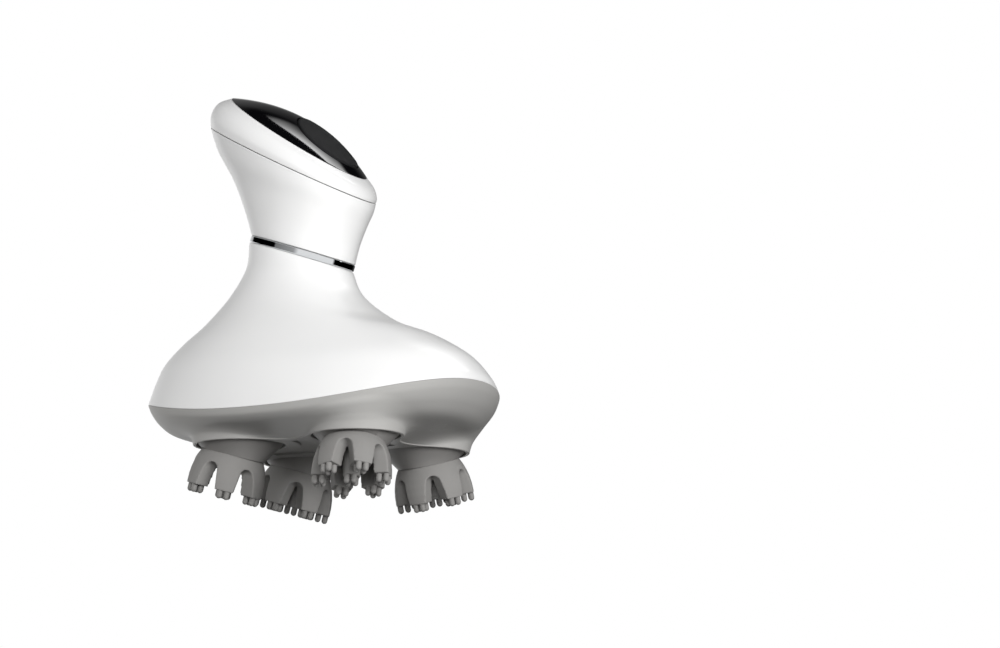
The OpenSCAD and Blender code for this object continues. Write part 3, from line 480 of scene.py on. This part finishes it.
def claw_form():
    """A cup with six legs round a middle leg."""
    flare = END_R - TOP_R
    profile = [(2, 0), (TOP_R, 0)]
    swell = ((0.34, -2), (0.62, -4.2), (0.84, -6.8), (0.96, -9.4))
    profile += [(TOP_R + flare * share, z) for share, z in swell]
    profile += [(END_R, -LEG_L), (END_R - LEG_D, -LEG_L), (END_R - LEG_D - 0.3, -7), (TOP_R - 3, -CUP_WALL),
                (2, -CUP_WALL)]
    cup = spun("cup", profile, ROUND_POINTS)
    half = (TOP_R + 0.62 * flare) / 2
    spring = ARCH_TOP - ARCH_R - LEG_L
    outline = [(LEG_W / 2, -LEG_L - 1)]
    arch = np.radians(range(175, 85, -10))
    outline += [(half + ARCH_R * math.cos(a), spring + ARCH_R * math.sin(a)) for a in arch]
    outline += [(END_R / 2 + 0.6, spring + ARCH_R), (END_R / 2 + 0.6, -0.5)]
    outline += [(-x, z) for x, z in outline[::-1]]
    bpy.ops.object.select_all(action="DESELECT")
    bpy.ops.mesh.primitive_circle_add(vertices=len(outline), radius=1, fill_type="NGON", location=(0, 0, 0))
    board = alone(bpy.context.object)
    around = sorted(board.data.vertices, key=lambda v: -math.atan2(v.co.y, v.co.x))
    for v, (y, z) in zip(around, outline):
        v.co = (0, y * MM, z * MM)
    bpy.ops.object.mode_set(mode="EDIT")
    bpy.ops.mesh.select_all(action="SELECT")
    bpy.ops.mesh.extrude_region_move(TRANSFORM_OT_translate={"value": (0.02, 0, 0)})
    bpy.ops.mesh.select_all(action="SELECT")
    bpy.ops.mesh.normals_make_consistent(inside=False)
    bpy.ops.object.mode_set(mode="OBJECT")
    crown = cut(twin(cup), [spun("disc", [(END_R + 2, -2.6), (END_R + 2, 1)], 96)], "INTERSECT")
    leg = cut(cup, [board], "INTERSECT")
    legs = [placed(twin(leg), turn(60 * k)) for k in range(1, 6)]
    middle = spun("middle", [(2.9, -LEG_L), (3.8, -1)], 64)
    seat = spun("seat", [(7, -0.5), (7, 1.5)], 96)
    return joined("claw", [crown, leg, middle, seat] + legs)


def soft(obj, voxel, rounds):
    """Melts overlapping forms into one skin and lets its edges relax, as a silicone moulding's are."""
    alone(obj)
    m = obj.modifiers.new("skin", "REMESH")
    m.mode, m.voxel_size = "VOXEL", voxel * MM
    bpy.ops.object.modifier_apply(modifier="skin")
    m = obj.modifiers.new("relax", "SMOOTH")
    m.factor, m.iterations = 0.5, rounds
    bpy.ops.object.modifier_apply(modifier="relax")
    return obj


def tip_form():
    """One finger tip, a short round pin with a domed end."""
    profile = [(TIP_R + 0.2, 0.25), (TIP_R + 0.05, 0.02), (TIP_R, -0.2), (TIP_R, -TIP_L)]
    profile += [(TIP_R * math.cos(a), -TIP_L - TIP_R * math.sin(a)) for a in np.radians((18, 36, 54, 70, 82))]
    return spun("tip", profile, 20)


claw = soft(claw_form(), 0.3, 3)
tip = tip_form()
tips = []
for x in (-1, 1):
    for y in (-1, 1):
        spots = [shift(x * TIP_HALF, y * TIP_HALF)]
        out = END_R - LEG_D / 2 - 0.15 + x * TIP_HALF
        spots += [turn(60 * k) @ shift(out, y * TIP_HALF) for k in range(6)]
        tips += [placed(twin(tip), spot @ shift(0, 0, -LEG_L)) for spot in spots]
bpy.data.objects.remove(tip, do_unlink=True)
claw = smooth(joined("claw_form", [claw] + tips), 60)


def claw_place(k):
    """The middle of the tilted top of claw k, with its axis along the claw."""
    return head_place(k) @ turn(HEADS[k][2]) @ shift(CLAW_SHIFT, 0, CONE_TOP - CLAW_DROP) @ turn(-LEAN, "Y")


# a claw, and over it a cone under a flange with a soft edge, cut by the tilted top of the claw
for k, (name, spot, lean, leg) in enumerate(HEADS):
    copy = placed(twin(claw, "claw_skin_" + name), claw_place(k) @ turn(leg - lean))
    dressed(copy, SILICONE, "head_" + name, "claw_rubber", "claw_" + name)
bpy.data.objects.remove(claw, do_unlink=True)

for k, (name, *_) in enumerate(HEADS):
    profile = [(5, 2.4), (FLANGE_R - 0.25, 2.4), (FLANGE_R - 0.05, 2.3), (FLANGE_R, 2.1), (FLANGE_R, 0.75),
               (FLANGE_R - 0.1, 0.5), (CONE_R, CONE_TOP), (CONE_R - CONE_H, CONE_TOP - CONE_H)]
    cone = placed(spun("carrier_skin_" + name, profile, ROUND_POINTS), head_place(k))
    top = placed(spun("top", [(30, -40), (30, 0)], 32), claw_place(k))
    dressed(smooth(cut(cone, [top])), FLANGE_ABS, "head_" + name, "carrier_plastic", "carrier_" + name)

# ---- the studio ---------------------------------------------------------------------------------------
scene = bpy.context.scene
scene.view_settings.view_transform = "Standard"

# The eye meets a white room. What mirrors is shown the same white, with dark screens to its left and to its
# back right and one soft panel high behind it, and all else is lit by an even fill.
FILL, BACKDROP = 0.27, 1.0
# how bright the room is at each azimuth in degrees, from one screen's edge to the next
SCREENS = ((-180, 0.0), (-121, 0.0), (-119, 0.22), (-78, 0.4), (-68, 1.0), (13, 1.0), (18, 0.0), (114, 0.0),
           (120, 0.9), (156, 0.9), (162, 0.0), (180, 0.0))
# azimuth, elevation and half angle of the round panel, in degrees
PANEL_TURN, PANEL_RISE, PANEL_SPREAD = 83.3, 47.6, 16.9
turn_to, rise_to = math.radians(PANEL_TURN), math.radians(PANEL_RISE)
PANEL_WAY = (math.cos(rise_to) * math.cos(turn_to), math.cos(rise_to) * math.sin(turn_to), math.sin(rise_to))
PANEL_RIM = math.cos(math.radians(PANEL_SPREAD))

world = bpy.data.worlds.new("studio")
scene.world = world
world.use_nodes = True
tree = world.node_tree
tree.nodes.clear()
path = add(tree, "ShaderNodeLightPath")
seen = add(tree, "ShaderNodeMath", {0: path.outputs["Is Camera Ray"], 1: path.outputs["Is Transmission Ray"]},
           operation="MAXIMUM")
ray = add(tree, "ShaderNodeTexCoord").outputs["Generated"]
way = add(tree, "ShaderNodeSeparateXYZ", {0: ray})
azimuth = add(tree, "ShaderNodeMath", {0: way.outputs["Y"], 1: way.outputs["X"]}, operation="ARCTAN2")
place = add(tree, "ShaderNodeMapRange", {"Value": azimuth.outputs[0], "From Min": -math.pi,
                                         "From Max": math.pi})
screens = add(tree, "ShaderNodeValToRGB", {"Fac": place.outputs[0]})
ramp = screens.color_ramp.elements
for degrees, level in SCREENS[1:-1]:
    ramp.new((degrees + 180) / 360).color = (level, level, level, 1)
for end in (0, -1):
    level = SCREENS[end][1]
    ramp[end].color = (level, level, level, 1)
# the panel is a round soft box behind the cap: it glows at its rim, and more so toward the front
into = add(tree, "ShaderNodeVectorMath", {0: ray, 1: PANEL_WAY}, operation="DOT_PRODUCT")
glow = add(tree, "ShaderNodeMapRange", {"Value": into.outputs["Value"], "From Min": PANEL_RIM,
                                        "From Max": PANEL_RIM + 0.038, "To Min": 0.9, "To Max": 0.02})
inside = add(tree, "ShaderNodeMath", {0: into.outputs["Value"], 1: PANEL_RIM}, operation="GREATER_THAN")
along = add(tree, "ShaderNodeMapRange", {"Value": way.outputs["X"], "From Min": -0.2, "From Max": 0.28,
                                         "To Min": 0.1, "To Max": 8.5}, interpolation_type="SMOOTHSTEP")
sloped = add(tree, "ShaderNodeMath", {0: way.outputs["X"], 1: 0.5, 2: way.outputs["Z"]},
             operation="MULTIPLY_ADD")
upper = add(tree, "ShaderNodeMapRange", {"Value": sloped.outputs[0], "From Min": 0.74, "From Max": 0.82},
            interpolation_type="SMOOTHSTEP")
panel = glow
for share in (inside, upper, along):
    panel = add(tree, "ShaderNodeMath", {0: panel.outputs[0], 1: share.outputs[0]}, operation="MULTIPLY")
# the screens fade overhead, and a dim wall stands behind on the left
overhead = add(tree, "ShaderNodeMapRange", {"Value": way.outputs["Z"], "From Min": 0.15, "From Max": 0.5,
                                            "To Min": 1.0, "To Max": 0.08}, interpolation_type="SMOOTHSTEP")
sides = add(tree, "ShaderNodeMath", {0: screens.outputs[0], 1: overhead.outputs[0]}, operation="MULTIPLY")
wall = add(tree, "ShaderNodeMapRange", {"Value": way.outputs["Z"], "From Min": 0.74, "From Max": 0.82,
                                        "To Min": 0.11, "To Max": 0.0})
behind = add(tree, "ShaderNodeMapRange", {"Value": way.outputs["Y"], "From Min": 0.45, "From Max": 0.65})
beside = add(tree, "ShaderNodeMapRange", {"Value": way.outputs["X"], "From Min": 0.02, "From Max": -0.3})
wall = add(tree, "ShaderNodeMath", {0: wall.outputs[0], 1: behind.outputs[0]}, operation="MULTIPLY")
sides = add(tree, "ShaderNodeMath", {0: wall.outputs[0], 1: beside.outputs[0], 2: sides.outputs[0]},
            operation="MULTIPLY_ADD")
mirrored = add(tree, "ShaderNodeMath", {0: sides.outputs[0], 1: panel.outputs[0]}, operation="ADD")
room = add(tree, "ShaderNodeBackground", {"Color": rgb("#ffffff"), "Strength": mirrored.outputs[0]})
fill = add(tree, "ShaderNodeBackground", {"Color": rgb("#ffffff"), "Strength": FILL})
back = add(tree, "ShaderNodeBackground", {"Color": rgb("#ffffff"), "Strength": BACKDROP})
unseen = add(tree, "ShaderNodeMixShader", {0: path.outputs["Is Glossy Ray"], 1: fill.outputs[0],
                                           2: room.outputs[0]})
both = add(tree, "ShaderNodeMixShader", {0: seen.outputs[0], 1: unseen.outputs[0], 2: back.outputs[0]})
add(tree, "ShaderNodeOutputWorld", {"Surface": both.outputs[0]})


def lamp(name, place, aim, size, power):
    """A soft box that looks at a point, and that mirrors don't show."""
    data = bpy.data.lights.new(name, "AREA")
    data.shape, data.size, data.size_y, data.energy = "RECTANGLE", size[0], size[1], power
    obj = bpy.data.objects.new(name, data)
    scene.collection.objects.link(obj)
    obj.location = place
    obj.rotation_mode = "QUATERNION"
    obj.rotation_quaternion = (Vector(aim) - Vector(place)).to_track_quat("-Z", "Y")
    obj.visible_glossy = False
    return obj


BODY_MIDDLE = (0, 0, 0.07)
lamp("key", (1.5, -0.55, 0.27), BODY_MIDDLE, (0.9, 0.5), 17)
lamp("front", (0.8, -1.3, 0.27), BODY_MIDDLE, (0.9, 0.5), 10.5)
lamp("left", (-1.5, -0.45, 0.26), BODY_MIDDLE, (0.8, 0.5), 10)

# a pale floor that is seen only from above, so that the low camera looks up through it, and that throws
# little light back under the body
floor_mat = bpy.data.materials.new("pale_paper")
floor_mat.use_nodes = True
tree = floor_mat.node_tree
tree.nodes.clear()
where = add(tree, "ShaderNodeTexCoord").outputs["Object"]
path = add(tree, "ShaderNodeLightPath")
fibre = add(tree, "ShaderNodeTexNoise", {"Vector": where, "Scale": 600.0, "Detail": 3.0})
bump = add(tree, "ShaderNodeBump", {"Height": fibre.outputs["Fac"], "Distance": 0.00003})
tone = add(tree, "ShaderNodeMix", {0: path.outputs["Is Camera Ray"], 6: rgb("#848484"), 7: rgb("#f2f2f2")},
           data_type="RGBA")
paper = add(tree, "ShaderNodeBsdfDiffuse", {"Color": tone.outputs[2], "Normal": bump.outputs["Normal"]})
clear = add(tree, "ShaderNodeBsdfTransparent")
side = add(tree, "ShaderNodeMath", {0: add(tree, "ShaderNodeNewGeometry").outputs["Backfacing"],
                                    1: path.outputs["Is Glossy Ray"]}, operation="MAXIMUM")
both = add(tree, "ShaderNodeMixShader", {0: side.outputs[0], 1: paper.outputs[0], 2: clear.outputs[0]})
add(tree, "ShaderNodeOutputMaterial", {"Surface": both.outputs[0]})
bpy.ops.object.select_all(action="DESELECT")
bpy.ops.mesh.primitive_plane_add(size=6, location=(0, 0, -0.0002))
floor = bpy.context.object
floor.name = "studio_floor"
floor.data.materials.append(floor_mat)

# The camera looks up from below the level of the claws. HEADS_PIXEL is where the middle of the heads, at the
# level of the rims, stands in the picture, in pixels from its top left.
CAMERA_TURN, CAMERA_RISE, CAMERA_AWAY = 28.5, -10.2, 1800
PIXELS_PER_MM, HEADS_PIXEL, MIDDLE_PIXEL = 2.88, (332, 450), (500, 324)
data = bpy.data.cameras.new("camera")
data.lens = 186.6
data.sensor_width = 36
data.clip_start = 0.05
data.clip_end = 50
camera = bpy.data.objects.new("camera", data)
scene.collection.objects.link(camera)
across = (MIDDLE_PIXEL[0] - HEADS_PIXEL[0]) / PIXELS_PER_MM
upward = (HEADS_PIXEL[1] - MIDDLE_PIXEL[1]) / PIXELS_PER_MM
camera.matrix_world = (shift(HEADS_X, 0, RIM) @ turn(CAMERA_TURN) @ turn(90 - CAMERA_RISE, "X")
                       @ shift(across, upward, CAMERA_AWAY))
scene.camera = camera
